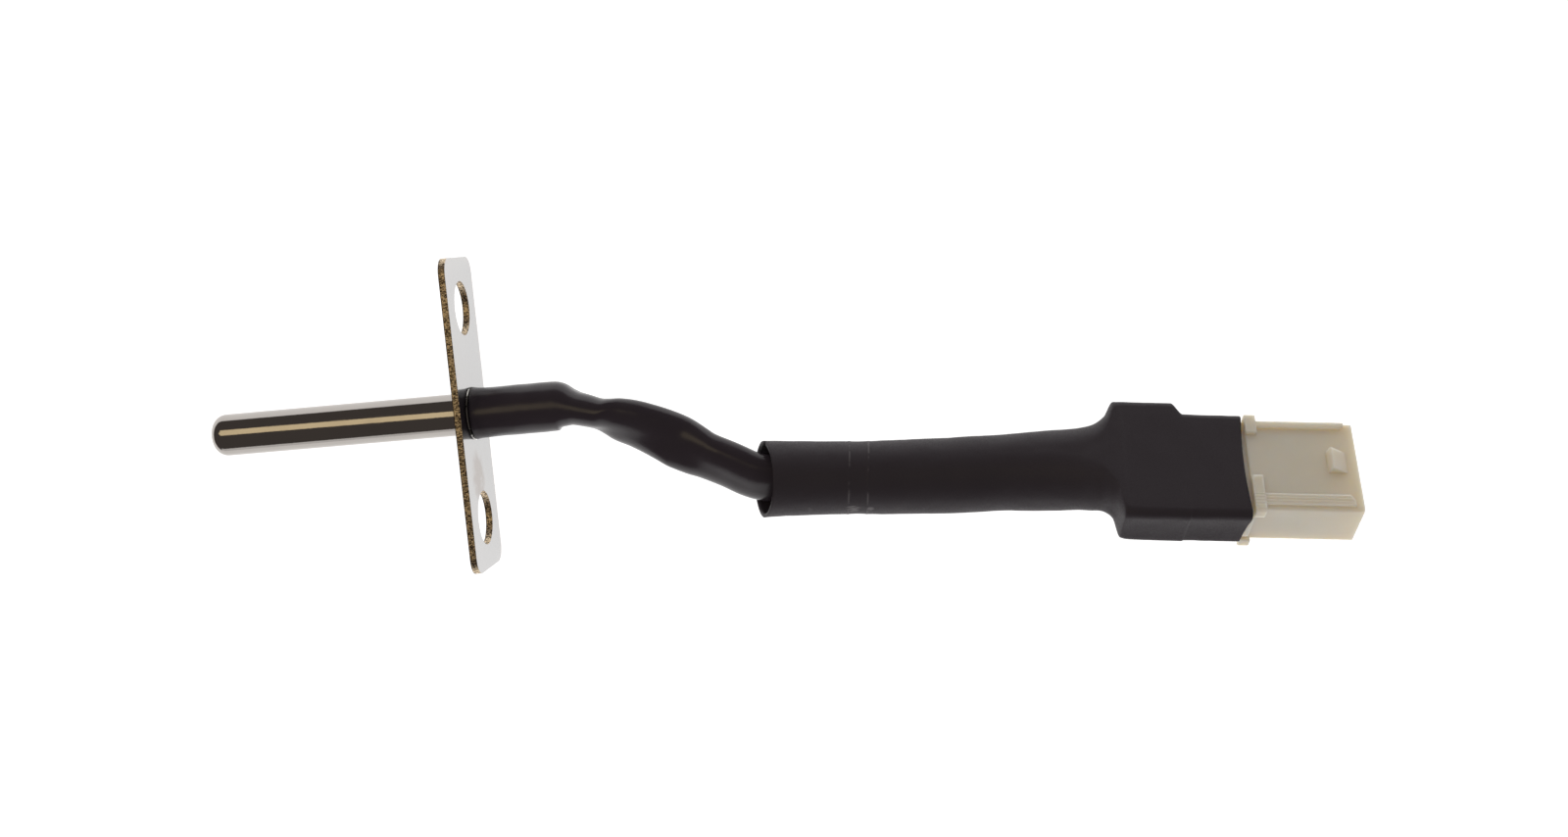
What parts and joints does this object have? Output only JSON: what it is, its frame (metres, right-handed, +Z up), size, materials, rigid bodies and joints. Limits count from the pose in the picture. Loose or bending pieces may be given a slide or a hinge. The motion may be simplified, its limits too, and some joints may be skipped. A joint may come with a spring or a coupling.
{
  "type": "flange-mounted probe thermocouple",
  "caption": "Straight stainless probe through a two-hole mounting strip, with a short twisted lead in black shrink sleeve that ends in a sleeved nylon plug.",
  "frame": {"origin": "where the probe's axis crosses the flange's seating face, midway between the two screw holes", "axes": "-X along the probe to its closed tip, +X back along the lead to the plug, Y along the flange through both screw holes, +Z up from the surface that the part lies on, across the flange's width"},
  "size_m": [0.133, 0.0415, 0.0152],
  "materials": {
    "sheath_steel": "polished drawn tube",
    "flange_steel": "satin sheet with sheared edges",
    "braze_alloy": "bright fillet",
    "tip_cement": "matte",
    "junction_alloy": "oxidised",
    "element_alloy_positive": "drawn wire",
    "element_alloy_negative": "drawn wire",
    "bead_ceramic": "matte",
    "crimp_brass": "satin",
    "seal_resin": "cured resin",
    "core_copper": "stranded",
    "insulation_red": "smooth",
    "insulation_white": "smooth",
    "gloss_sleeve": "glossy shrink sleeve",
    "plug_nylon": "translucent natural nylon",
    "contact_tin": "tin plated",
    "matte_sleeve": "matte shrink sleeve"
  },
  "bodies": {
    "root": {"probe_sheath": "sheath_steel", "mounting_flange": "flange_steel", "braze_ring": "braze_alloy", "tip_cement": "tip_cement", "hot_junction": "junction_alloy", "thermoelement_positive": "element_alloy_positive", "thermoelement_negative": "element_alloy_negative", "insulator_bead_front": "bead_ceramic", "insulator_bead_middle": "bead_ceramic", "insulator_bead_rear": "bead_ceramic", "splice_crimp_positive": "crimp_brass", "splice_crimp_negative": "crimp_brass", "end_seal": "seal_resin", "wire_core_positive": "core_copper", "wire_core_negative": "core_copper", "wire_insulation_positive": "insulation_red", "wire_insulation_negative": "insulation_white", "lead_sleeve": "gloss_sleeve", "plug_housing": "plug_nylon", "contact_positive": "contact_tin", "contact_negative": "contact_tin", "plug_sleeve": "matte_sleeve"}
  },
  "joints": []
}
